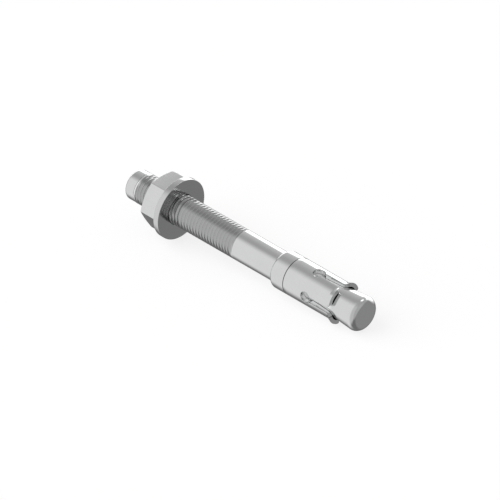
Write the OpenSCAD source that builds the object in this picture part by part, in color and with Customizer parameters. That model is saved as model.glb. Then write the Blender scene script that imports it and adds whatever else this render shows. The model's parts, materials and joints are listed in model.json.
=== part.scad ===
// Wedge anchor bolt: a stud with a collar, neck and cone, a slotted expansion clip, a washer and a hex nut.
// Each piece is built along +Z from the hammer end, then laid down as the anchor rests on a table.

/* [Stud] */
// Outside diameter of the thread
thread_d = 8; // [7:0.1:10]
// Length of the thread
thread_len = 33.8; // [24:0.1:60]
// Diameter of the plain hammer end
hammer_d = 7.9; // [6:0.1:8]
// Length of the plain hammer end
hammer_len = 3.1; // [2:0.1:6]
// Rounding of the hammer end's rim
hammer_round = 0.8; // [0.2:0.1:1.5]
// Diameter of the plain shank
shank_d = 8; // [7:0.1:9]
// Length of the plain shank
shank_len = 13.6; // [5:0.1:40]
// Diameter of the collar and of the clip
collar_d = 10; // [9.4:0.1:12]
// Length of the collar, with its rounded shoulder
collar_len = 4.8; // [3:0.1:8]
// Diameter of the neck that carries the clip
neck_d = 7.3; // [6:0.1:8]
// Length of the neck
neck_len = 9.8; // [8:0.1:14]
// Largest diameter of the cone
cone_d = 9.2; // [8.4:0.1:9.8]
// Length of the cone
cone_len = 12; // [9:0.1:20]
// Rounding of the tip
tip_round = 1.6; // [0.4:0.1:3]

/* [Expansion clip] */
// Length of the clip
clip_len = 15.9; // [12:0.1:20]
// Number of fingers
finger_count = 4; // [3:1:5]
// Width of the slots between the fingers
slot_w = 1.7; // [0.8:0.1:2.6]
// Diameter of the round end of each slot
keyhole_d = 3.2; // [1.8:0.1:4]
// Distance of the round ends from the collar side
keyhole_from_collar = 7.6; // [5:0.1:9]
// Rounding of the fingers' free corners
finger_round = 0.8; // [0.2:0.1:1.2]
// How far the finger ends stand proud of the clip
flare_height = 0.58; // [0.2:0.01:1]
// Length of the flared finger ends
flare_len = 1.5; // [0.8:0.1:3]
// How far the middle of each flare lies off the bolt's axis
flare_offset = 1.45; // [0.5:0.05:2]
// Depth of the pocket under each finger end
pocket_depth = 0.34; // [0.1:0.01:0.5]
// How far the middle of each pocket lies off the bolt's axis
pocket_offset = 1.94; // [1:0.02:2.4]
// Width of the seam where the strip's ends meet
seam_w = 0.4; // [0.2:0.1:0.8]

/* [Washer] */
// Outside diameter of the washer
washer_d = 16; // [14:0.1:24]
// Thickness of the washer
washer_t = 1.6; // [1:0.1:3]

/* [Nut] */
// Width across the nut's flats
nut_af = 13; // [11.5:0.1:17]
// Height of the nut
nut_h = 5.5; // [4:0.1:8]
// Angle of the chamfer on the nut's outer corners
nut_chamfer_angle = 25; // [15:1:35]
// Diameter of the flat face inside that chamfer
nut_face_d = 12.3; // [10.5:0.1:12.8]
// Depth of the countersink at each end of the nut's bore
nut_countersink = 0.4; // [0.1:0.1:0.8]
// Distance of the nut's outer face from the hammer end
nut_from_end = 8.5; // [4:0.1:20]

/* [Fits] */
// Radial clearance of the nut on the thread
thread_clearance = 0.05; // [0.02:0.01:0.1]
// Radial clearance of the washer on the stud
washer_clearance = 0.2; // [0.1:0.05:0.5]
// Radial clearance of the clip on the neck
neck_clearance = 0.1; // [0.05:0.01:0.2]
// Radial clearance of the clip's tapered bore over the cone
cone_clearance = 0.06; // [0.03:0.01:0.12]
// Gap between the collar and the clip
clip_gap = 0.1; // [0.05:0.01:0.3]

/* [Hidden] */
$fn = 96;
over = 1; // how far a cutter reaches past what it cuts

thread_r = thread_d / 2;
hammer_r = hammer_d / 2;
shank_r = shank_d / 2;
collar_r = collar_d / 2;
neck_r = neck_d / 2;
cone_r = cone_d / 2;
washer_r = washer_d / 2;

// Stations along the stud, from the hammer end
thread_end = hammer_len + thread_len;
collar_start = thread_end + shank_len;
neck_start = collar_start + collar_len;
cone_start = neck_start + neck_len;
cone_end = cone_start + cone_len;
tip_end = cone_end + tip_round;
clip_start = neck_start + clip_gap;
clip_end = clip_start + clip_len;
washer_start = nut_from_end + nut_h;
washer_end = washer_start + washer_t;
shoulder_round = collar_r - shank_r;

// The clip's bore runs over the neck, then follows the cone
bore_r = neck_r + neck_clearance;
cone_slope = (cone_r - neck_r) / cone_len;
function cone_bore_r(z) = neck_r + cone_clearance + (z - cone_start) * cone_slope;
taper_start = cone_start + (neck_clearance - cone_clearance) / cone_slope;
finger_step = 360 / finger_count;

// Each flare is a cone off the bolt's axis that leaves the clip's outside at flare_len from its end
flare_r = collar_r + flare_height - flare_offset;
flare_slope = flare_height / flare_len;
pocket_r = cone_bore_r(clip_end) + pocket_depth - pocket_offset;
pocket_slope = cone_slope + pocket_depth / flare_len;

// The anchor lies on the washer's rim and on the two lowest finger ends
rest_r = flare_offset * cos(finger_step / 2) + flare_r;
rest_tilt = atan((washer_r - rest_r) / (clip_end - washer_end));
axis_height = washer_r * cos(rest_tilt) + washer_end * sin(rest_tilt);
x_low = -(hammer_r - hammer_round) * sin(rest_tilt);
x_high = cone_end * cos(rest_tilt) + (cone_r - tip_round) * sin(rest_tilt) + tip_round;
x_middle = (x_low + x_high) / 2;

// Turns a piece from the stud's own axis to the resting pose, with its local +X side down
module lay_down() {
    translate([-x_middle, 0, axis_height]) rotate([0, 90 + rest_tilt, 0]) children();
}

// Takes a section's sharp corner at radius r and height z back to a rounded rim that faces up (1) or down (-1)
module rim_cut(r, z, rim, faces) {
    difference() {
        translate([r - rim, faces > 0 ? z - rim : z - over]) square(rim + over);
        translate([r - rim, z - faces * rim]) circle(rim);
    }
}

module stud_section() {
    difference() {
        polygon([
            [0, 0],
            [hammer_r, 0],
            [hammer_r, hammer_len],
            [thread_r, hammer_len],
            [thread_r, thread_end],
            [shank_r, thread_end],
            [shank_r, collar_start],
            [collar_r, collar_start],
            [collar_r, neck_start],
            [neck_r, neck_start],
            [neck_r, cone_start],
            [cone_r, cone_end],
            [cone_r, tip_end],
            [0, tip_end]
        ]);
        rim_cut(hammer_r, 0, hammer_round, -1);
        rim_cut(collar_r, collar_start, shoulder_round, -1);
        rim_cut(cone_r, tip_end, tip_round, 1);
    }
}

module bolt() {
    color("silver") lay_down() rotate_extrude() stud_section();
}

// Outline of one slot, in the plane of width and length, with a mouth that rounds the fingers' corners
module keyhole_outline() {
    mouth_w = slot_w + 2 * finger_round;
    mouth_start = clip_len - finger_round;
    translate([0, keyhole_from_collar]) circle(d = keyhole_d);
    translate([-slot_w / 2, keyhole_from_collar]) square([slot_w, clip_len]);
    difference() {
        translate([-mouth_w / 2, mouth_start]) square([mouth_w, finger_round + over]);
        for (side = [-1, 1]) translate([side * mouth_w / 2, mouth_start]) circle(finger_round);
    }
}

// A cut from the axis outwards to local +X, with its outline's length along the axis
module outward_cut() {
    rotate([90, 0, 90]) linear_extrude(collar_r + flare_height + over) children();
}

module clip_bore() {
    end = clip_end + over;
    rotate_extrude() polygon([
        [0, clip_start - over],
        [bore_r, clip_start - over],
        [bore_r, taper_start],
        [cone_bore_r(end), end],
        [0, end]
    ]);
}

module finger_flare() {
    base = clip_end - 2 * flare_len;
    base_r = flare_r - 2 * flare_len * flare_slope;
    translate([flare_offset, 0, base]) cylinder(h = 2 * flare_len, r1 = base_r, r2 = flare_r);
}

module finger_pocket() {
    base = clip_end - 2 * flare_len;
    base_r = pocket_r - 2 * flare_len * pocket_slope;
    translate([pocket_offset, 0, base])
        cylinder(h = 2 * flare_len + over, r1 = base_r, r2 = pocket_r + over * pocket_slope);
}

module expansion_clip() {
    color("gainsboro") lay_down() difference() {
        union() {
            translate([0, 0, clip_start]) cylinder(h = clip_len, r = collar_r);
            for (i = [0 : finger_count - 1]) rotate((i + 0.5) * finger_step) finger_flare();
        }
        clip_bore();
        for (i = [0 : finger_count - 1]) {
            rotate((i + 0.5) * finger_step) finger_pocket();
            rotate(i * finger_step) translate([0, 0, clip_start]) outward_cut() keyhole_outline();
        }
        translate([0, 0, clip_start]) outward_cut()
            translate([-seam_w / 2, -over]) square([seam_w, keyhole_from_collar + over]);
    }
}

module washer() {
    color("lightgray") lay_down() translate([0, 0, washer_start]) difference() {
        cylinder(h = washer_t, r = washer_r);
        translate([0, 0, -over]) cylinder(h = washer_t + 2 * over, r = thread_r + washer_clearance);
    }
}

module nut_section() {
    bore = thread_r + thread_clearance;
    corner = nut_af / 2 / cos(30) + over;
    chamfer = (corner - nut_face_d / 2) * tan(nut_chamfer_angle);
    polygon([
        [bore + nut_countersink, 0],
        [nut_face_d / 2, 0],
        [corner, chamfer],
        [corner, nut_h],
        [bore + nut_countersink, nut_h],
        [bore, nut_h - nut_countersink],
        [bore, nut_countersink]
    ]);
}

module hex_nut() {
    color("silver") lay_down() translate([0, 0, nut_from_end]) intersection() {
        rotate_extrude() nut_section();
        rotate(30) cylinder(h = nut_h, d = nut_af / cos(30), $fn = 6);
    }
}

bolt();
expansion_clip();
washer();
hex_nut();
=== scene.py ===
"""Wedge anchor bolt: a threaded stud with a washer and a hex nut, and a slotted clip round its cone.

Every piece is modelled standing along +Z from the stud's hammer end, with its local +X side down, and is
then laid down onto the stud's own axis.
"""

import json
import math
from collections import Counter

import bpy
from bpy.props import FloatProperty, FloatVectorProperty, IntProperty, PointerProperty
from mathutils import Matrix, Vector


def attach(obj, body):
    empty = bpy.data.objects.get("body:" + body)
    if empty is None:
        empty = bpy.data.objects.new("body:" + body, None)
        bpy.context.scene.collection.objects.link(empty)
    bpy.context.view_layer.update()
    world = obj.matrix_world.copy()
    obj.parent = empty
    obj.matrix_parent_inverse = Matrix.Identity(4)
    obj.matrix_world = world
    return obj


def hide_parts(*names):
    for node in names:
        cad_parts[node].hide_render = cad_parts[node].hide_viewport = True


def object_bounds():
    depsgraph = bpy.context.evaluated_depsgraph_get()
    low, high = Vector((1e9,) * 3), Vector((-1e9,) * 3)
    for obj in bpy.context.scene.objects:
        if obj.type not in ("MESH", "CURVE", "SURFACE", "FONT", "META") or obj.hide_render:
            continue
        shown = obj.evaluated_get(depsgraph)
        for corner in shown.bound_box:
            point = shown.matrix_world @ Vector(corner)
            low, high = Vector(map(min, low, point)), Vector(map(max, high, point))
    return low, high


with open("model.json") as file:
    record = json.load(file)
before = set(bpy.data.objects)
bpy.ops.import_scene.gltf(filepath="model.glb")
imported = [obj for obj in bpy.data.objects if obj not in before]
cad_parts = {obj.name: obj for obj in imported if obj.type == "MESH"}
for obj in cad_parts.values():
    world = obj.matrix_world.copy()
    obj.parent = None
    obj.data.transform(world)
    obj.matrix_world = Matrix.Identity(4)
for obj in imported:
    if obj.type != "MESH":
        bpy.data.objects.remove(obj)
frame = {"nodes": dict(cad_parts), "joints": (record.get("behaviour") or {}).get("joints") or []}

bl_info = {
    "name": "Wedge Anchor Bolt",
    "version": (1, 0, 0),
    "blender": (4, 5, 0),
    "location": "View3D > Sidebar > Anchor",
    "description": "Models a zinc-plated wedge anchor with its thread, nut, washer and expansion clip",
    "category": "Add Mesh",
}

MM = 0.001
CAD_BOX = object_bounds()
MERGE = 0.5e-6
COLUMNS = 96
FULL_TURN = 2 * math.pi
FLANK_ANGLE = math.radians(30)
SMOOTH_ANGLE = math.radians(24)
EDGE_STEPS = 6
IMAGE_SIZE = 500

# How fine the plate's noises are, in features a metre
CLOUD_SCALE = 160
CRYSTAL_SCALE = 9000
MARK_SCALE = 1000
BUMP_STRENGTH = 0.16
BUMP_HEIGHT = 0.01 * MM

# How much the noises change the plate's tone, roughness and height
PLAIN_TONE = 0.93
CLOUD_TONE = 0.08
MARK_TONE = 0.06
CLOUD_ROUGHNESS = 0.04
MARK_ROUGHNESS = 0.05
MARK_HEIGHT = 0.7
CRYSTAL_HEIGHT = 0.3

# Stretch of the tool marks as (radius, angle, station)
TURNED_MARKS = (2, 0.05, 9)
ROLLED_MARKS = (2, 0.3, 5)
SHEARED_MARKS = (9, 2, 2)
INSIDE_MARKS = (2, 2, 2)
PUNCHED_MARKS = (3, 0.6, 3)
PRESSED_MARKS = (3, 3, 0.5)

JOINTS = {joint["name"]: joint for joint in frame["joints"]}
ALONG = Vector(JOINTS["nut_turn"]["axis"]).normalized()
ACROSS = Vector((0, 1, 0))
DOWN = ACROSS.cross(ALONG)
TURN_CENTRE = Vector(JOINTS["nut_turn"]["pos_m"])


def stations(node):
    """Where a node starts and ends along the stud's axis, from the bolt's hammer end."""
    along = [vertex.co.dot(ALONG) for vertex in frame["nodes"][node].data.vertices]
    return min(along) - HAMMER_AT, max(along) - HAMMER_AT


def reach(node):
    """A node's largest distance from the stud's axis."""
    offsets = [vertex.co - TURN_CENTRE for vertex in frame["nodes"][node].data.vertices]
    return max((offset - offset.dot(ALONG) * ALONG).length for offset in offsets)


HAMMER_AT = min(vertex.co.dot(ALONG) for vertex in frame["nodes"]["bolt"].data.vertices)
HAMMER_END = TURN_CENTRE + (HAMMER_AT - TURN_CENTRE.dot(ALONG)) * ALONG
LAY_DOWN = Matrix((DOWN, ACROSS, ALONG)).transposed().to_4x4()
LAY_DOWN.translation = HAMMER_END

NUT_START, NUT_END = stations("hex_nut")
WASHER_START, WASHER_END = stations("washer")
CLIP_START, CLIP_END = stations("expansion_clip")
TIP_END = stations("bolt")[1]


def size(title, words, millimetres):
    """A length property, in metres, with its default given in millimetres."""
    return FloatProperty(
        name=title,
        description=words,
        default=millimetres * MM,
        min=0.0,
        precision=5,
        unit="LENGTH",
    )


def colour(title, words, value):
    """A colour property."""
    return FloatVectorProperty(
        name=title, description=words, default=value, size=3, min=0.0, max=1.0, subtype="COLOR"
    )


def share(title, words, value):
    """A number property from 0 to 1."""
    return FloatProperty(name=title, description=words, default=value, min=0.0, max=1.0, subtype="FACTOR")


class AnchorThread(bpy.types.PropertyGroup):
    """Sizes of the thread on the stud and in the nut."""

    pitch: size("Pitch", "Distance from one thread to the next", 1.0)
    crest: size("Crest radius", "Radius over the thread", 4.0)
    depth: size("Depth", "Height of the thread from root to crest", 0.56)
    crest_share: share("Crest width", "Width of the flat crest, as a share of the pitch", 0.34)
    ridge_cut: share("Ridge cut", "How much of the nut's ridge is cut flat, as a share of the depth", 0.1)
    start: size("Start", "Where the thread starts, from the hammer end", 3.5)
    end: size("End", "Where the thread ends, from the hammer end", 36.9)
    run_in: size("Run-in", "Length over which the first groove deepens", 0.4)
    run_out: size("Run-out", "Length over which the last groove fades", 0.4)
    clearance: size("Clearance", "Radial gap between the nut's thread and the stud's", 0.05)


class AnchorStud(bpy.types.PropertyGroup):
    """Sizes of the plain parts of the stud."""

    hammer_radius: size("Hammer end radius", "Radius of the plain end", 3.95)
    hammer_round: size("Hammer end rounding", "Rounding of the plain end's rim", 0.8)
    ring: size("Ring width", "Width of the plain ring between the plain end and the thread", 0.26)
    ring_groove: size("Ring groove", "Width and depth of the groove before that ring", 0.16)
    shank_radius: size("Shank radius", "Radius between thread and collar", 4.0)
    collar_start: size("Collar start", "Where the collar's shoulder starts", 50.5)
    collar_radius: size("Collar radius", "Radius of the collar", 5.0)
    neck_start: size("Neck start", "Where the collar ends and the neck starts", 55.3)
    neck_radius: size("Neck radius", "Radius of the neck under the clip", 3.65)
    neck_swell: size("Neck swell", "How much thicker the plated neck is", 0.06)
    neck_fillet: size("Neck fillet", "Fillet between neck and collar", 0.08)
    edge_round: size("Edge rounding", "Rounding of the collar's edge over the clip", 0.09)
    cone_start: size("Cone start", "Where the neck widens to the cone", 65.1)
    cone_end: size("Cone end", "Where the cone ends and the rounded tip starts", 77.1)
    cone_radius: size("Cone radius", "Largest radius of the cone", 4.6)
    tip_round: size("Tip rounding", "Rounding of the tip", 1.6)


class AnchorClip(bpy.types.PropertyGroup):
    """Sizes of the expansion clip."""

    fingers: IntProperty(name="Fingers", description="Number of fingers", default=4, min=3, max=5)
    radius: size("Radius", "Outside radius of the rolled strip", 5.0)
    bore: size("Bore radius", "Inside radius over the neck", 3.75)
    cone_gap: size("Cone gap", "Radial gap between the clip's taper and the cone", 0.06)
    slot: size("Slot width", "Width of the slots between the fingers", 1.7)
    keyhole: size("Keyhole radius", "Radius of the round end of each slot", 1.6)
    keyhole_at: size("Keyhole distance", "Distance of the round ends from the collar side", 7.6)
    corner: size("Corner rounding", "Rounding of the fingers' free corners", 1.3)
    seam: size("Seam width", "Width of the seam where the strip's ends meet", 0.4)
    flare: size("Flare height", "How far the finger ends stand proud", 0.58)
    flare_length: size("Flare length", "Length of the flared finger ends", 1.5)
    flare_offset: size("Flare offset", "How far each flare's middle lies off the axis", 1.45)
    pocket: size("Pocket depth", "Depth of the pocket under each finger end", 0.34)
    pocket_offset: size("Pocket offset", "How far each pocket's middle lies off the axis", 1.94)
    edge_round: size("Edge rounding", "Rounding of the stamped edges", 0.07)


class AnchorHead(bpy.types.PropertyGroup):
    """Sizes of the nut and the washer."""

    flats: size("Across flats", "Width of the nut across its flats", 13.0)
    face: size("Face radius", "Radius of the flat face inside the nut's chamfer", 6.15)
    countersink: size("Countersink", "Depth of the nut's countersinks", 0.4)
    nut_round: size("Nut edge rounding", "Rounding of the nut's edges", 0.12)
    washer_hole: size("Washer hole radius", "Radius of the washer's hole", 4.08)
    washer_round: size("Washer rounding", "Rounding of the washer's edges", 0.12)
    chamfer: FloatProperty(
        name="Chamfer angle",
        description="Slope of the nut's chamfer",
        default=math.radians(25),
        subtype="ANGLE",
    )


class AnchorFinish(bpy.types.PropertyGroup):
    """Colours and tones of the zinc plate, and the floor's colour; the plate's tones paint shade on the
    thread and in the gap before the clip, light inside the clip and a highlight on the ring before the
    thread.
    """

    zinc: colour("Zinc", "Colour of the zinc plate", (0.63, 0.632, 0.634))
    # Flank and crest tones are painted shade: they darken the thread against the plain plate, the crests
    # more than the flanks.
    flank: share("Flank tone", "How light the thread's flanks are against the plain plate", 0.95)
    crest: share("Crest tone", "How light the thread's crests are against the plain plate", 0.6)
    # Painted light: lightens the plate on the neck and the clip's inner faces inside the clip, where shade
    # falls.
    painted_slot_light: share("Covered tone", "How much lighter the plate inside the clip is", 0.33)
    gap_shade: share("Gap shade", "How much darker the gap before the clip is", 0.75)
    # Painted highlight: a lighter band on the plain ring just before the thread.
    painted_ring_highlight: share("Ring shine", "How much lighter the ring before the thread is", 0.4)
    roughness: share("Roughness", "Roughness of the polished plate", 0.09)
    # The gap line is painted shade: a dark line on each side of the gap between the collar and the clip.
    gap: size("Gap line", "Width of the dark line on each side of the gap before the clip", 0.15)
    floor: colour("Floor", "Colour of the floor", (0.92, 0.92, 0.92))


def sizes(group):
    """One of the scene's property groups."""
    return getattr(bpy.context.scene, group)


def arc(centre, radius, first, last, steps):
    """Points (radius, station) of an arc in a section, from one angle in degrees to another."""
    angles = [math.radians(first + (last - first) * i / steps) for i in range(steps + 1)]
    return [(centre[0] + radius * math.cos(a), centre[1] + radius * math.sin(a)) for a in angles]


def traced(name, points):
    """Starts a piece with a line through the points (radius, station), drawn by extruding one vertex."""
    bpy.ops.object.select_all(action="DESELECT")
    bpy.ops.mesh.primitive_plane_add(size=MM)
    piece = bpy.context.object
    piece.name = name
    piece.data.name = name
    bpy.ops.object.mode_set(mode="EDIT")
    bpy.ops.mesh.select_all(action="SELECT")
    bpy.ops.mesh.merge(type="CENTER")
    bpy.ops.transform.translate(value=(points[0][0], 0, points[0][1]))
    for here, there in zip(points, points[1:]):
        step = (there[0] - here[0], 0, there[1] - here[1])
        bpy.ops.mesh.extrude_vertices_move(TRANSFORM_OT_translate={"value": step})
    bpy.ops.object.mode_set(mode="OBJECT")
    return piece


def activate(piece):
    """Makes a piece the only selected and active object."""
    bpy.ops.object.select_all(action="DESELECT")
    piece.select_set(True)
    bpy.context.view_layer.objects.active = piece


def merge_and_orient(piece):
    """Merges a piece's doubles, then turns its faces outwards."""
    activate(piece)
    bpy.ops.object.mode_set(mode="EDIT")
    bpy.ops.mesh.select_all(action="SELECT")
    bpy.ops.mesh.remove_doubles(threshold=MERGE)
    bpy.ops.mesh.dissolve_degenerate(threshold=MERGE)
    bpy.ops.mesh.select_all(action="SELECT")
    bpy.ops.mesh.normals_make_consistent(inside=False)
    bpy.ops.object.mode_set(mode="OBJECT")


def spun(name, points):
    """A surface turned from a section."""
    piece = traced(name, points)
    bpy.ops.object.mode_set(mode="EDIT")
    bpy.ops.mesh.select_all(action="SELECT")
    bpy.ops.mesh.spin(steps=COLUMNS, angle=FULL_TURN, center=(0, 0, 0), axis=(0, 0, 1))
    bpy.ops.object.mode_set(mode="OBJECT")
    return piece


def tooth(inner_gap=0.0):
    """Section of one thread, from the middle of a groove to the next, as (radius, station).

    With a gap it is the nut's thread, that much further out and with its ridge cut flat.
    """
    thread = sizes("anchor_thread")
    pitch = thread.pitch
    root = thread.crest - thread.depth
    crest_start = (1 - thread.crest_share) / 2 * pitch
    flank = thread.depth * math.tan(FLANK_ANGLE)
    half = [(root, 0.0), (root, crest_start - flank), (thread.crest, crest_start)]
    ridge = root + thread.ridge_cut * thread.depth
    section = half + [(radius, pitch - station) for radius, station in reversed(half)]
    if inner_gap:
        section = [(max(radius, ridge) + inner_gap, station) for radius, station in section]
    return section


def helical(name, section, start, end):
    """A sheet screwed from a thread's section, longer than from start to end by a turn at both ends."""
    pitch = sizes("anchor_thread").pitch
    first = math.floor(start / pitch) - 2
    count = math.ceil(end / pitch) + 1 - first
    piece = traced(name, [(radius, first * pitch + station) for radius, station in section])
    row = piece.modifiers.new("row of threads", "ARRAY")
    row.use_relative_offset = False
    row.use_constant_offset = True
    row.constant_offset_displace = (0, 0, pitch)
    row.count = count
    row.use_merge_vertices = True
    row.merge_threshold = MERGE
    helix = piece.modifiers.new("helix", "SCREW")
    helix.axis = "Z"
    helix.angle = FULL_TURN
    helix.screw_offset = pitch
    helix.steps = COLUMNS
    helix.render_steps = COLUMNS
    for modifier in ("row of threads", "helix"):
        bpy.ops.object.modifier_apply(modifier=modifier)
    return piece


def smooth_step(value):
    """0 below 0, 1 above 1 and a smooth curve between them."""
    value = min(max(value, 0.0), 1.0)
    return value * value * (3 - 2 * value)


def reshape(piece, shape):
    """Moves every vertex to what shape gives for its radius, angle and station."""
    for vertex in piece.data.vertices:
        radius, angle, station = shape(
            math.hypot(vertex.co.x, vertex.co.y), math.atan2(vertex.co.y, vertex.co.x), vertex.co.z
        )
        vertex.co = (radius * math.cos(angle), radius * math.sin(angle), station)


def joined(name, parts):
    """One piece from several."""
    bpy.ops.object.select_all(action="DESELECT")
    for part in parts:
        part.select_set(True)
    bpy.context.view_layer.objects.active = parts[0]
    bpy.ops.object.join()
    piece = bpy.context.object
    piece.name = name
    piece.data.name = name
    merge_and_orient(piece)
    return piece


def round_edges(piece, rounding, segments, least_bend, inner):
    """Bevels the edges that bend by more than an angle and lie further out than a radius."""
    activate(piece)
    bpy.ops.object.mode_set(mode="EDIT")
    bpy.ops.mesh.select_mode(type="EDGE")
    bpy.ops.mesh.select_all(action="DESELECT")
    bpy.ops.mesh.edges_select_sharp(sharpness=least_bend)
    bpy.ops.object.mode_set(mode="OBJECT")
    points = piece.data.vertices
    for edge in piece.data.edges:
        middle = (points[edge.vertices[0]].co + points[edge.vertices[1]].co) / 2
        edge.select = edge.select and math.hypot(middle.x, middle.y) > inner
    bpy.ops.object.mode_set(mode="EDIT")
    bpy.ops.mesh.bevel(offset=rounding, segments=segments, affect="EDGES", clamp_overlap=True)
    bpy.ops.mesh.select_mode(type="VERT")
    bpy.ops.object.mode_set(mode="OBJECT")


def set_in_frame(piece, node, body, material):
    """Lays a finished piece down, and lets it stand for its node on its body."""
    sides = Counter(edge for face in piece.data.polygons for edge in face.edge_keys)
    if set(sides.values()) != {2}:
        raise RuntimeError(piece.name + " is not closed")
    activate(piece)
    bpy.ops.object.shade_smooth_by_angle(angle=SMOOTH_ANGLE)
    piece.matrix_world = LAY_DOWN
    bpy.ops.object.transform_apply(location=True, rotation=True, scale=True)
    piece.data.materials.clear()
    piece.data.materials.append(material)
    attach(piece, body)
    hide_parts(node)


class Socket:
    """A node's output, whose operators add Math nodes to its tree."""

    def __init__(self, tree, output=None):
        self.tree = tree
        self.output = output

    def node(self, kind, settings=None, sockets=None, out=0):
        """Adds any other node: its settings first, then its sockets' values or links."""
        made = self.tree.nodes.new(kind)
        for name, value in (settings or {}).items():
            setattr(made, name, value)
        for name, value in (sockets or {}).items():
            if isinstance(value, Socket):
                self.tree.links.new(value.output, made.inputs[name])
            else:
                made.inputs[name].default_value = value
        return Socket(self.tree, made.outputs[out])

    def maths(self, operation, first, second=0.0):
        """Adds a Math node for one or two values."""
        return self.node("ShaderNodeMath", {"operation": operation}, {0: first, 1: second})

    def __add__(self, other):
        return self.maths("ADD", self, other)

    __radd__ = __add__

    def __sub__(self, other):
        return self.maths("SUBTRACT", self, other)

    def __rsub__(self, other):
        return self.maths("SUBTRACT", other, self)

    def __mul__(self, other):
        return self.maths("MULTIPLY", self, other)

    __rmul__ = __mul__

    def step(self, low, high):
        """0 at low, 1 at high and a smooth curve between them."""
        return self.node(
            "ShaderNodeMapRange",
            {"interpolation_type": "SMOOTHSTEP"},
            {"Value": self, "From Min": low, "From Max": high},
        )


def noise(paper, place, scale, detail, stretch=(1, 1, 1)):
    """Noise from 0 to 1, with features of about 1 / scale metres, stretched by its axes."""
    stretched = paper.node("ShaderNodeVectorMath", {"operation": "MULTIPLY"}, {0: place, 1: stretch})
    return paper.node(
        "ShaderNodeTexNoise",
        {"noise_dimensions": "3D"},
        {"Vector": stretched, "Scale": scale, "Detail": detail},
    )


def new_material(name):
    """An empty node material and its shader."""
    material = bpy.data.materials.new(name)
    material.use_nodes = True
    shader = material.node_tree.nodes["Principled BSDF"]
    return material, shader


def zinc_plate(name, marks, lightness=1.0, dullness=0.0):
    """Bright zinc plate: cloudy passivation, fine crystals, and marks of how the piece was made, with
    painted shade on the thread and in the gap before the clip, painted light inside the clip and a painted
    highlight on the ring before the thread. Its lightness scales the whole tone, which paints shade on the
    washer and on the clip's cut faces.

    marks is the stretch of the tool marks as (radius, angle, station): a large number gives fine marks
    across that way, and a small one long marks along it.
    """
    finish = sizes("anchor_finish")
    thread = sizes("anchor_thread")
    stud = sizes("anchor_stud")
    clip = sizes("anchor_clip")
    material, shader = new_material(name)
    tree = material.node_tree
    paper = Socket(tree)
    place = paper.node("ShaderNodeTexCoord", out="Object")
    place = paper.node(
        "ShaderNodeMapping",
        {"vector_type": "TEXTURE"},
        {"Vector": place, "Location": LAY_DOWN.translation, "Rotation": LAY_DOWN.to_euler()},
    )
    split = place.node("ShaderNodeSeparateXYZ", None, {"Vector": place}).output.node
    across, up, station = (Socket(tree, split.outputs[axis]) for axis in ("X", "Y", "Z"))
    radius = paper.maths("SQRT", across * across + up * up)
    angle = paper.maths("ARCTAN2", up, across) * thread.crest
    turned = paper.node("ShaderNodeCombineXYZ", None, {"X": radius, "Y": angle, "Z": station})

    clouds = noise(paper, place, CLOUD_SCALE, 3)
    crystals = noise(paper, place, CRYSTAL_SCALE, 2)
    tool_marks = noise(paper, turned, MARK_SCALE, 4, marks)

    # Painted shade on the thread: the rolled thread is darker than the plain plate, and its crests darker
    # than its flanks.
    in_thread = station.step(thread.start, thread.start + thread.run_in) * (
        1 - station.step(thread.end - thread.run_out, thread.end)
    )
    on_stud = 1 - radius.step(thread.crest, thread.crest + thread.clearance)
    rolled = in_thread * on_stud
    on_crest = radius.step(thread.crest - thread.clearance, thread.crest - thread.clearance / 5)
    painted_thread_shade = finish.flank + on_crest * (finish.crest - finish.flank)
    # Painted light inside the clip: the plate on the neck and on the clip's inner faces, from the collar
    # side to the flared ends, is made lighter against the shade that falls there.
    painted_slot_light = station.step(CLIP_START, CLIP_START + clip.keyhole) * (
        1 - station.step(CLIP_END - clip.flare_length, CLIP_END)
    )
    painted_slot_light = painted_slot_light * (1 - radius.step(clip.bore + clip.pocket, clip.radius - clip.edge_round))
    # Painted shade in the gap between the collar and the clip.
    gap = station.step(stud.neck_start - finish.gap, stud.neck_start) * (
        1 - station.step(CLIP_START, CLIP_START + finish.gap)
    )

    tone = PLAIN_TONE + clouds * CLOUD_TONE + tool_marks * MARK_TONE
    tone = tone - rolled * (1 - painted_thread_shade) + painted_slot_light * finish.painted_slot_light
    # Painted highlight on the plain ring just before the thread.
    ring = station.step(thread.start - stud.ring, thread.start - stud.ring / 2) * (
        1 - station.step(thread.start, thread.start + stud.ring / 2)
    )
    tone = tone * (1 - finish.gap_shade * gap) * (1 + finish.painted_ring_highlight * ring * on_stud) * lightness
    base = paper.node(
        "ShaderNodeVectorMath", {"operation": "SCALE"}, {0: tuple(finish.zinc), "Scale": tone}
    )
    roughness = finish.roughness + clouds * CLOUD_ROUGHNESS + tool_marks * MARK_ROUGHNESS + dullness
    height = tool_marks * MARK_HEIGHT + crystals * CRYSTAL_HEIGHT
    bump = paper.node(
        "ShaderNodeBump", None, {"Strength": BUMP_STRENGTH, "Distance": BUMP_HEIGHT, "Height": height}
    )
    tree.links.new(base.output, shader.inputs["Base Color"])
    tree.links.new(roughness.output, shader.inputs["Roughness"])
    tree.links.new(bump.output, shader.inputs["Normal"])
    shader.inputs["Metallic"].default_value = 1.0
    return material


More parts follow.
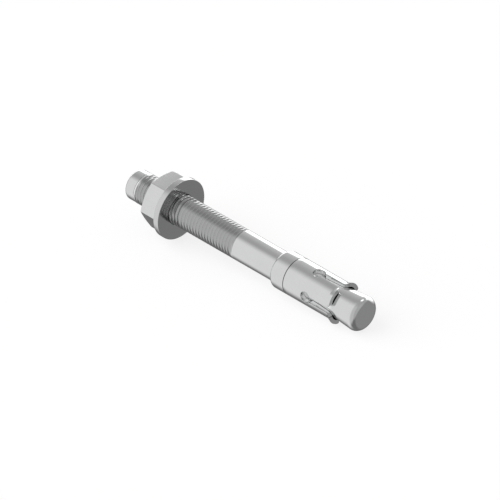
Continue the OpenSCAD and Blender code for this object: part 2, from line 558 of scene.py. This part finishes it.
class ANCHOR_OT_stud(bpy.types.Operator):
    """Model the stud: hammer end, helical thread, shank, collar, neck, cone and tip"""

    bl_idname = "anchor.stud"
    bl_label = "Stud"

    rim_steps = 10
    shoulder_steps = 12
    tip_steps = 14

    def execute(self, context):
        thread = context.scene.anchor_thread
        stud = context.scene.anchor_stud
        parts = [self.thread(thread), self.hammer_end(thread, stud), self.body(thread, stud)]
        piece = joined("stud", parts)
        set_in_frame(piece, "bolt", "stud", zinc_plate("turned zinc", TURNED_MARKS))
        return {"FINISHED"}

    def thread(self, thread):
        """The helical thread, with grooves that fade out at both ends onto plain rings."""

        def fade(radius, angle, station):
            station = min(max(station, thread.start), thread.end)
            deep = smooth_step((station - thread.start) / thread.run_in)
            deep *= smooth_step((thread.end - station) / thread.run_out)
            return thread.crest + (radius - thread.crest) * deep, angle, station

        piece = helical("stud_thread", tooth(), thread.start, thread.end)
        reshape(piece, fade)
        return piece

    def hammer_end(self, thread, stud):
        """The plain end, from its middle over a rounded rim to the thread."""
        rim = (stud.hammer_radius - stud.hammer_round, stud.hammer_round)
        groove_radius = stud.hammer_radius - stud.ring_groove
        ring_start = thread.start - stud.ring
        groove_start = ring_start - stud.ring_groove
        section = [(0, 0), (rim[0] / 2, 0)]
        section += arc(rim, stud.hammer_round, -90, 0, self.rim_steps)
        section += [(stud.hammer_radius, groove_start), (groove_radius, groove_start)]
        section += [(groove_radius, ring_start), (thread.crest, ring_start)]
        section += [(thread.crest, thread.start)]
        return spun("stud_hammer_end", section)

    def body(self, thread, stud):
        """Everything from the end of the thread to the tip."""
        shoulder = stud.collar_radius - stud.shank_radius
        edge = stud.edge_round
        fillet = stud.neck_fillet
        tip = (stud.cone_radius - stud.tip_round, TIP_END - stud.tip_round)
        section = [(thread.crest, thread.end), (stud.shank_radius, thread.end + thread.run_in)]
        section += [(stud.shank_radius, stud.collar_start)]
        shoulder_middle = (stud.shank_radius, stud.collar_start + shoulder)
        section += arc(shoulder_middle, shoulder, -90, 0, self.shoulder_steps)[1:]
        section += arc((stud.collar_radius - edge, stud.neck_start - edge), edge, 0, 90, EDGE_STEPS)
        neck = stud.neck_radius + stud.neck_swell
        slope = (stud.cone_radius - stud.neck_radius) / (stud.cone_end - stud.cone_start)
        section += arc((neck + fillet, stud.neck_start + fillet), fillet, -90, -180, EDGE_STEPS)
        section += [(neck, stud.cone_start + stud.neck_swell / slope), (stud.cone_radius, stud.cone_end)]
        section += arc(tip, stud.tip_round, 0, 90, self.tip_steps)
        section += [(tip[0] / 2, TIP_END), (0, TIP_END)]
        return spun("stud_body", section)


class ANCHOR_OT_clip(bpy.types.Operator):
    """Model the expansion clip as a slit strip that is rolled round the neck"""

    bl_idname = "anchor.clip"
    bl_label = "Expansion clip"

    finger_columns = 26
    band_steps = 5
    keyhole_steps = 18
    slot_steps = 4
    corner_steps = 8
    settling_steps = 4
    flare_margin = 1.1
    slit = 0.001
    edge_bend = math.radians(40)
    # Painted shade: the slot walls are drawn darker than the plate, and the inside of the finger ends nearly
    # black.
    wall_shade_lightness = 0.85
    inside_shade_lightness = 0.06
    inside_dullness = 0.4
    # Cosines that sort the faces by the way they face
    facing_inwards = -0.85
    facing_sideways = 0.5
    facing_along = 0.7

    def execute(self, context):
        self.clip = context.scene.anchor_clip
        self.stud = context.scene.anchor_stud
        self.length = CLIP_END - CLIP_START
        self.rows = self.slot_rows()
        piece = self.blank()
        self.roll(piece)
        merge_and_orient(piece)
        outer = (self.clip.bore + 3 * self.clip.radius) / 4
        round_edges(piece, self.clip.edge_round, 2, self.edge_bend, outer)
        set_in_frame(piece, "expansion_clip", "clip", zinc_plate("rolled zinc", ROLLED_MARKS))
        self.finish_cut_faces(piece)
        return {"FINISHED"}

    def finish_cut_faces(self, piece):
        """Gives the sheared slot walls a copy of the plate scaled darker as painted shade, and the unlit
        inside of the ends a near-black one as painted shade.
        """
        walls = zinc_plate("sheared zinc with painted shade", SHEARED_MARKS, self.wall_shade_lightness)
        inside = zinc_plate("painted shade inside", INSIDE_MARKS, self.inside_shade_lightness, self.inside_dullness)
        piece.data.materials.append(walls)
        piece.data.materials.append(inside)
        ends_start = CLIP_END - 2 * self.clip.flare_length
        for face in piece.data.polygons:
            outwards = face.center - HAMMER_END
            station = outwards.dot(ALONG)
            outwards = face.normal.dot((outwards - station * ALONG).normalized())
            along = abs(face.normal.dot(ALONG))
            if outwards < self.facing_inwards and station > ends_start:
                face.material_index = 2
            elif abs(outwards) < self.facing_sideways and along < self.facing_along:
                face.material_index = 1

    def slot_rows(self):
        """Rows across the strip as (station, half the gap to the next finger)."""
        clip = self.clip
        half_slot = clip.slot / 2
        keyhole_end = math.pi - math.asin(half_slot / clip.keyhole)
        keyhole_start = clip.keyhole_at - clip.keyhole
        rows = [(keyhole_start * i / self.band_steps, 0.0) for i in range(self.band_steps)]
        self.whole_rows = len(rows) + 1
        for i in range(self.keyhole_steps + 1):
            turn = keyhole_end * i / self.keyhole_steps
            rows.append((clip.keyhole_at - clip.keyhole * math.cos(turn), clip.keyhole * math.sin(turn)))
        straight_start = rows[-1][0]
        straight_end = self.length - clip.corner
        flare_start = self.length - self.flare_margin * clip.flare_length
        for first, last in ((straight_start, flare_start), (flare_start, straight_end)):
            for i in range(1, self.slot_steps + 1):
                rows.append((first + (last - first) * i / self.slot_steps, half_slot))
        for i in range(1, self.corner_steps + 1):
            turn = math.pi / 2 * i / self.corner_steps
            gap = half_slot + clip.corner * (1 - math.cos(turn))
            rows.append((straight_end + clip.corner * math.sin(turn), gap))
        return rows

    def blank(self):
        """The flat strip: one unit of X for each finger, one of Y for each row, slit between fingers."""
        fingers = []
        for finger in range(self.clip.fingers):
            bpy.ops.object.select_all(action="DESELECT")
            bpy.ops.mesh.primitive_grid_add(
                x_subdivisions=self.finger_columns, y_subdivisions=len(self.rows) - 1, size=1
            )
            grid = bpy.context.object
            for vertex in grid.data.vertices:
                row = round((vertex.co.y + 0.5) * (len(self.rows) - 1))
                column = vertex.co.x + 0.5
                if row >= self.whole_rows:
                    column = self.slit + column * (1 - 2 * self.slit)
                vertex.co = (finger + column, row, 0)
            fingers.append(grid)
        bpy.ops.object.select_all(action="DESELECT")
        for grid in fingers:
            grid.select_set(True)
        bpy.context.view_layer.objects.active = fingers[0]
        bpy.ops.object.join()
        piece = bpy.context.object
        piece.name = "expansion_clip_rolled"
        piece.data.name = piece.name
        bpy.ops.object.mode_set(mode="EDIT")
        bpy.ops.mesh.select_all(action="SELECT")
        bpy.ops.mesh.remove_doubles(threshold=self.slit / 10)
        bpy.ops.mesh.extrude_region_move(TRANSFORM_OT_translate={"value": (0, 0, -1)})
        bpy.ops.object.mode_set(mode="OBJECT")
        return piece

    def outside(self, off_middle, station):
        """Outside radius at an angle from a finger's middle."""
        clip = self.clip
        at_end = clip.radius + clip.flare - clip.flare_offset
        cone = at_end - (self.length - station) * clip.flare / clip.flare_length
        return max(clip.radius, off_centre_circle(clip.flare_offset, cone, off_middle))

    def inside(self, off_middle, station):
        """Inside radius at an angle from a finger's middle."""
        clip, stud = self.clip, self.stud
        slope = (stud.cone_radius - stud.neck_radius) / (stud.cone_end - stud.cone_start)

        def taper(along):
            return stud.neck_radius + clip.cone_gap + (CLIP_START + along - stud.cone_start) * slope

        at_end = taper(self.length) + clip.pocket - clip.pocket_offset
        pocket = at_end - (self.length - station) * (slope + clip.pocket / clip.flare_length)
        return max(clip.bore, taper(station), off_centre_circle(clip.pocket_offset, pocket, off_middle))

    def roll(self, piece):
        """Rolls the strip round the neck, its outer side at height 0 and its inner side at height -1."""
        clip = self.clip
        finger_turn = FULL_TURN / clip.fingers
        for vertex in piece.data.vertices:
            finger = min(int(vertex.co.x), clip.fingers - 1)
            row = round(vertex.co.y)
            station, gap = self.rows[row]
            column = vertex.co.x - finger
            if row >= self.whole_rows:
                column = (column - self.slit) / (1 - 2 * self.slit)
            left = max(gap, clip.seam / 2) if finger == 0 else gap
            right = max(gap, clip.seam / 2) if finger == clip.fingers - 1 else gap
            wall = self.outside if vertex.co.z > -0.5 else self.inside
            radius = clip.radius if vertex.co.z > -0.5 else clip.bore
            for _ in range(self.settling_steps):
                first = math.asin(left / radius)
                last = finger_turn - math.asin(right / radius)
                angle = first + (last - first) * column
                radius = wall(angle - finger_turn / 2, station)
            angle += finger * finger_turn
            vertex.co = (radius * math.cos(angle), radius * math.sin(angle), CLIP_START + station)


def off_centre_circle(offset, radius, angle):
    """Distance from the axis, at an angle, of a circle whose middle lies off it."""
    rest = radius * radius - (offset * math.sin(angle)) ** 2
    if radius <= 0 or rest <= 0:
        return 0.0
    return offset * math.cos(angle) + math.sqrt(rest)


class ANCHOR_OT_washer(bpy.types.Operator):
    """Model the washer, with rounded edges"""

    bl_idname = "anchor.washer"
    bl_label = "Washer"

    # Painted shade: the rim is 0.9 and the flat faces 0.73 as light as the plate, as lit and shaded copies
    # of one plate.
    rim_shade_lightness = 0.9
    face_shade_lightness = 0.73
    facing_along = 0.95

    def execute(self, context):
        head = context.scene.anchor_head
        edge = head.washer_round
        outer = reach("washer") - edge
        inner = head.washer_hole + edge
        low, high = WASHER_START + edge, WASHER_END - edge
        section = arc((outer, low), edge, -90, 0, EDGE_STEPS)
        section += arc((outer, high), edge, 0, 90, EDGE_STEPS)
        section += arc((inner, high), edge, 90, 180, EDGE_STEPS)
        section += arc((inner, low), edge, 180, 270, EDGE_STEPS)
        section += [section[0]]
        piece = spun("flat_washer", section)
        merge_and_orient(piece)
        # The rim and the flat faces get darker copies of the plate as painted shade.
        rim = zinc_plate("punched zinc with painted shade", PUNCHED_MARKS, self.rim_shade_lightness)
        set_in_frame(piece, "washer", "washer", rim)
        piece.data.materials.append(zinc_plate("flat zinc with painted shade", PUNCHED_MARKS, self.face_shade_lightness))
        for face in piece.data.polygons:
            if abs(face.normal.dot(ALONG)) > self.facing_along:
                face.material_index = 1
        return {"FINISHED"}


class ANCHOR_OT_nut(bpy.types.Operator):
    """Model the hex nut, with its chamfer, countersinks and inner thread"""

    bl_idname = "anchor.nut"
    bl_label = "Hex nut"

    def execute(self, context):
        head = context.scene.anchor_head
        thread = context.scene.anchor_thread
        mouth = thread.crest + thread.clearance + head.countersink
        piece = joined("threaded_hex_nut", [self.outside(head, mouth), self.bore(thread, mouth)])
        inside_face_edge = 0.98 * head.face
        round_edges(piece, head.nut_round, 3, SMOOTH_ANGLE, inside_face_edge)
        set_in_frame(piece, "hex_nut", "nut", zinc_plate("pressed zinc", PRESSED_MARKS))
        return {"FINISHED"}

    def outside(self, head, mouth):
        """A turned blank whose outer rows are pushed onto the flats and up the chamfer."""
        blank = 2 * head.flats
        section = [(mouth, NUT_START), (head.face, NUT_START), (blank, NUT_START)]
        section += [(blank, NUT_END), (mouth, NUT_END)]
        piece = spun("nut_blank", section)

        def hexagon(radius, angle, station):
            if radius < blank / 2:
                return radius, angle, station
            sixth = math.radians(60)
            off_flat = (angle + sixth / 2) % sixth - sixth / 2
            radius = head.flats / 2 / math.cos(off_flat)
            if station < (NUT_START + NUT_END) / 2:
                station += (radius - head.face) * math.tan(head.chamfer)
            return radius, angle, station

        reshape(piece, hexagon)
        return piece

    def bore(self, thread, mouth):
        """The inner thread, opened by a countersink at both ends."""

        def countersunk(radius, angle, station):
            station = min(max(station, NUT_START), NUT_END)
            from_face = min(station - NUT_START, NUT_END - station)
            return max(radius, mouth - from_face), angle, station

        piece = helical("nut_thread", tooth(thread.clearance), NUT_START, NUT_END)
        reshape(piece, countersunk)
        return piece


def stepped(level, angle, steps):
    """A level that changes over an angle by steps of (start, end, change), with the angles in degrees."""
    for start, end, change in steps:
        level = level + change * angle.step(math.radians(start), math.radians(end))
    return level


class ANCHOR_OT_stage(bpy.types.Operator):
    """Set the floor, the soft light and the camera"""

    bl_idname = "anchor.stage"
    bl_label = "Stage"

    floor_size = 6.0
    floor_roughness = 0.95
    view_middle = 39.29 * MM
    view_drop = 0.135 * MM
    pixels_per_metre = 4125
    camera_distance = 0.6
    nearest = 0.01
    farthest = 10
    key_strength = 2.6
    key_spread = math.radians(70)
    ambient = 0.60
    floor_glow = 0.8
    lamp_towards = Vector((0.32, 0.50, 0.80))
    lamp_level = 1.5
    room_steps = (
        (-128, -82, -0.78),
        (-27, -3, 2.08),
        (24, 36, -1.58),
        (36, 85, -0.21),
        (88, 126, 0.49),
    )
    side_level = 0.72
    side_steps = (
        (-142, -112, -0.50),
        (-75, -55, 0.13),
        (6, 16, 0.17),
        (88, 126, 0.20),
    )
    panel_steps = (
        (-30, 0, 0.95),
        (28, 36, -0.95),
    )
    end_level = 0.57
    panel_edge = (0.41, 0.49)
    end_edge = (0.80, 0.94)
    side_edge = (-0.1, 0.35)
    lamp_edge = (0.975, 0.99)

    def execute(self, context):
        finish = context.scene.anchor_finish
        self.floor(finish)
        self.world(context.scene)
        self.key_light()
        self.camera(context.scene)
        context.scene.view_settings.view_transform = "Standard"
        if context.scene.camera is None:
            raise RuntimeError("the stage has no camera")
        return {"FINISHED"}

    def floor(self, finish):
        """A wide pale floor with a white glow mixed in, which still takes the anchor's shadow."""
        bpy.ops.object.select_all(action="DESELECT")
        bpy.ops.mesh.primitive_plane_add(size=self.floor_size, location=(0, 0, CAD_BOX[0].z))
        plane = bpy.context.object
        plane.name = "floor"
        material, shader = new_material("pale floor")
        shader.inputs["Base Color"].default_value = (*finish.floor, 1)
        shader.inputs["Roughness"].default_value = self.floor_roughness
        shader.inputs["Specular IOR Level"].default_value = 0.0
        tree = material.node_tree
        paper = Socket(tree, shader.outputs["BSDF"])
        glow = paper.node("ShaderNodeEmission", None, {"Color": (1, 1, 1, 1), "Strength": 1.0})
        mixed = paper.node("ShaderNodeMixShader", None, {0: self.floor_glow, 1: paper, 2: glow})
        tree.links.new(mixed.output, tree.nodes["Material Output"].inputs["Surface"])
        plane.data.materials.append(material)
        plane.visible_glossy = False

    def world(self, scene):
        """A soft room with light and dark bands for the metal to mirror, and a plain fill light.

        The level of the room, of its side beyond the tip and of a panel on that side changes with the angle
        round the anchor, in degrees: -180 is the front, -90 below, 0 the back and 90 above. Each step has
        where it starts and ends, and by how much it changes. The edges of the side, of its panel and of the
        room's end count from 0 beside the anchor to 1 straight beyond its tip. The lamp's edge is the cosine
        of the angle off its middle.
        """
        scene.world = bpy.data.worlds.new("soft room")
        scene.world.use_nodes = True
        tree = scene.world.node_tree
        background = tree.nodes["Background"]
        paper = Socket(tree)
        direction = paper.node("ShaderNodeTexCoord", out="Generated")
        split = paper.node("ShaderNodeSeparateXYZ", None, {"Vector": direction}).output.node
        aside, behind, above = (Socket(tree, split.outputs[axis]) for axis in ("X", "Y", "Z"))
        round_anchor = paper.maths("ARCTAN2", above, behind)
        room = stepped(1.0, round_anchor, self.room_steps)
        side = stepped(self.side_level, round_anchor, self.side_steps)
        panel = stepped(0.0, round_anchor, self.panel_steps)
        side = side + panel * (1 - aside.step(*self.panel_edge))
        side = side + aside.step(*self.end_edge) * (self.end_level - side)
        level = room + aside.step(*self.side_edge) * (side - room)
        lamp = paper.node(
            "ShaderNodeVectorMath",
            {"operation": "DOT_PRODUCT"},
            {0: direction, 1: self.lamp_towards.normalized()},
            out="Value",
        )
        level = level + self.lamp_level * lamp.step(*self.lamp_edge)
        rays = paper.node("ShaderNodeLightPath").output.node
        kinds = ("Camera", "Glossy", "Transmission")
        seen, glossy, passed = (Socket(tree, rays.outputs["Is " + kind + " Ray"]) for kind in kinds)
        strength = self.ambient + (glossy + passed) * (level - self.ambient) + seen * (1 - self.ambient)
        background.inputs["Color"].default_value = (1, 1, 1, 1)
        tree.links.new(strength.output, background.inputs["Strength"])

    def key_light(self):
        """A wide soft light from the front left, which lights the floor and isn't mirrored itself."""
        bpy.ops.object.select_all(action="DESELECT")
        towards = (-ALONG - ACROSS - DOWN).normalized()
        bpy.ops.object.light_add(type="SUN", location=towards)
        key = bpy.context.object
        key.name = "key_light"
        key.rotation_euler = towards.to_track_quat("Z", "Y").to_euler()
        key.data.energy = self.key_strength
        key.data.angle = self.key_spread
        key.visible_glossy = False

    def camera(self, scene):
        """An isometric view along the stud, its tip to the lower right."""
        bpy.ops.object.select_all(action="DESELECT")
        back = (ALONG - ACROSS - DOWN).normalized()
        right = (ALONG + ACROSS).normalized()
        upright = back.cross(right)
        edge_up = (ACROSS - DOWN).normalized()
        target = HAMMER_END + self.view_middle * ALONG - self.view_drop * edge_up
        bpy.ops.object.camera_add()
        camera = bpy.context.object
        camera.name = "photo_view"
        turn = Matrix((right, upright, back)).transposed().to_4x4()
        turn.translation = target + self.camera_distance * back
        camera.matrix_world = turn
        camera.data.type = "ORTHO"
        camera.data.ortho_scale = IMAGE_SIZE / self.pixels_per_metre
        camera.data.clip_start = self.nearest
        camera.data.clip_end = self.farthest
        scene.camera = camera


class ANCHOR_PT_panel(bpy.types.Panel):
    """Lists the anchor's pieces and sizes"""

    bl_idname = "ANCHOR_PT_panel"
    bl_label = "Wedge Anchor Bolt"
    bl_space_type = "VIEW_3D"
    bl_region_type = "UI"
    bl_category = "Anchor"

    def draw(self, context):
        for step in STEPS:
            self.layout.operator(step.bl_idname)
        for name, group in GROUPS.items():
            box = self.layout.box()
            box.label(text=group.__doc__)
            for field in group.__annotations__:
                box.prop(getattr(context.scene, name), field)


GROUPS = {
    "anchor_thread": AnchorThread,
    "anchor_stud": AnchorStud,
    "anchor_clip": AnchorClip,
    "anchor_head": AnchorHead,
    "anchor_finish": AnchorFinish,
}
STEPS = (ANCHOR_OT_stud, ANCHOR_OT_clip, ANCHOR_OT_washer, ANCHOR_OT_nut, ANCHOR_OT_stage)
CLASSES = (*GROUPS.values(), *STEPS, ANCHOR_PT_panel)


def register():
    for kind in CLASSES:
        bpy.utils.register_class(kind)
    for name, group in GROUPS.items():
        setattr(bpy.types.Scene, name, PointerProperty(type=group))


def unregister():
    for name in GROUPS:
        delattr(bpy.types.Scene, name)
    for kind in reversed(CLASSES):
        bpy.utils.unregister_class(kind)


def main():
    register()
    bpy.ops.anchor.stud()
    bpy.ops.anchor.clip()
    bpy.ops.anchor.washer()
    bpy.ops.anchor.nut()
    bpy.ops.anchor.stage()


if __name__ == "__main__":
    main()
